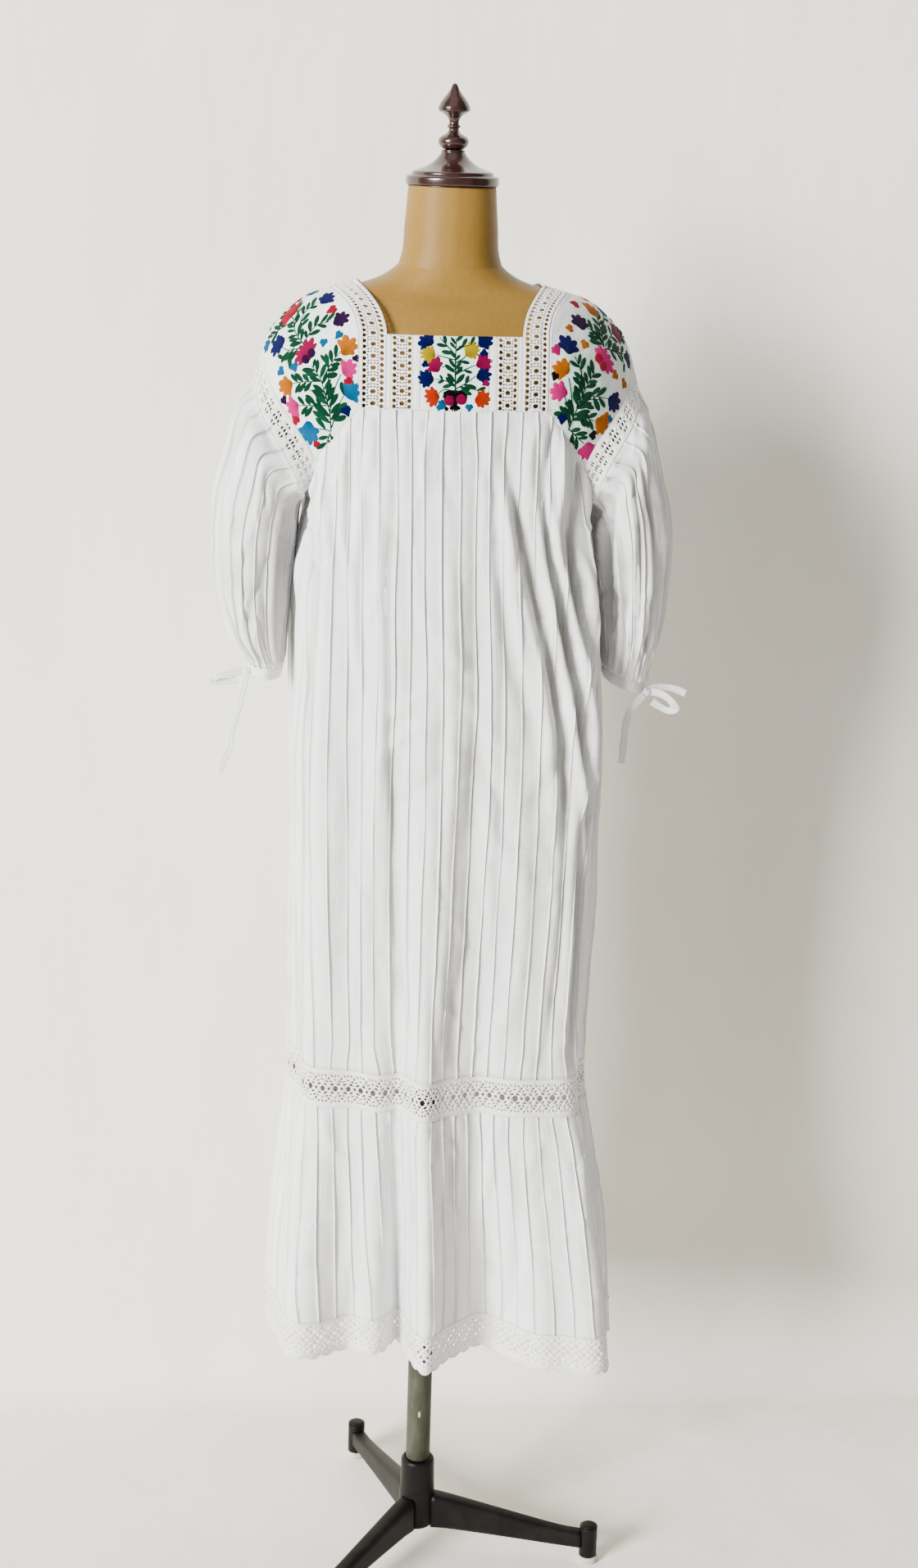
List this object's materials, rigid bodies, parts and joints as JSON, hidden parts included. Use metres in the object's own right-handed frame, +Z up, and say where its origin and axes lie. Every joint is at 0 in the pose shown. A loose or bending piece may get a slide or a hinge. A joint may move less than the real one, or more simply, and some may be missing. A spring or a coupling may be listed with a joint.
{
  "type": "embroidered mexican dress on a limbless dress form and stand",
  "caption": "Long white pin-tucked cotton dress with lace insertions, bright embroidered yoke and shoulders and tied puff sleeves, on a limbless dress form with cast stand.",
  "frame": {"origin": "on the floor, under the middle of the part's box seen from above", "axes": "+Z up; the dress faces -Y; +X to the viewer's right; the pole stands at x -0.0123, y -0.0189"},
  "size_m": [0.5442, 0.4031, 1.7758],
  "materials": {
    "cotton": "fine plain-woven white cotton, pin-tucked, with bright hand embroidery on the yoke and shoulders",
    "lace": "white crocheted cotton lace, open",
    "form_cover": "smooth tan paper-like covering, semi-matte",
    "turned_wood": "dark varnished turned wood, glossy",
    "pole_paint": "worn grey-green painted tube",
    "cast_base": "near-black painted casting, satin",
    "foot_rubber": "worn grey rubber pads"
  },
  "bodies": {
    "root": {"front_panel": "cotton", "back_panel": "cotton", "flounce_front": "cotton", "flounce_back": "cotton", "yoke_middle_front": "cotton", "yoke_middle_back": "cotton", "shoulder_panel_left": "cotton", "shoulder_panel_right": "cotton", "sleeve_left": "cotton", "sleeve_right": "cotton", "cuff_left": "cotton", "cuff_right": "cotton", "tie_knot_left": "cotton", "tie_loop_left": "cotton", "tie_tail_left": "cotton", "tie_knot_right": "cotton", "tie_loop_right": "cotton", "tie_end_right": "cotton", "tie_tail_right": "cotton", "insertion_lace_front": "lace", "insertion_lace_back": "lace", "hem_lace_front": "lace", "hem_lace_back": "lace", "strap_lace_left": "lace", "strap_lace_right": "lace", "armhole_lace_left": "lace", "armhole_lace_right": "lace", "yoke_strip_front_left": "cotton", "yoke_edge_front_left": "cotton", "yoke_lace_front_left": "lace", "yoke_strip_front_right": "cotton", "yoke_edge_front_right": "cotton", "yoke_lace_front_right": "lace", "yoke_strip_back_left": "cotton", "yoke_edge_back_left": "cotton", "yoke_lace_back_left": "lace", "yoke_strip_back_right": "cotton", "yoke_edge_back_right": "cotton", "yoke_lace_back_right": "lace", "form_torso": "form_cover", "neck_cap": "turned_wood", "finial": "turned_wood", "pole": "pole_paint", "stand_hub": "cast_base", "leg_1": "cast_base", "leg_2": "cast_base", "leg_3": "cast_base", "foot_1": "cast_base", "foot_2": "cast_base", "foot_3": "cast_base", "foot_pad_1": "foot_rubber", "foot_pad_2": "foot_rubber", "foot_pad_3": "foot_rubber"}
  },
  "joints": []
}
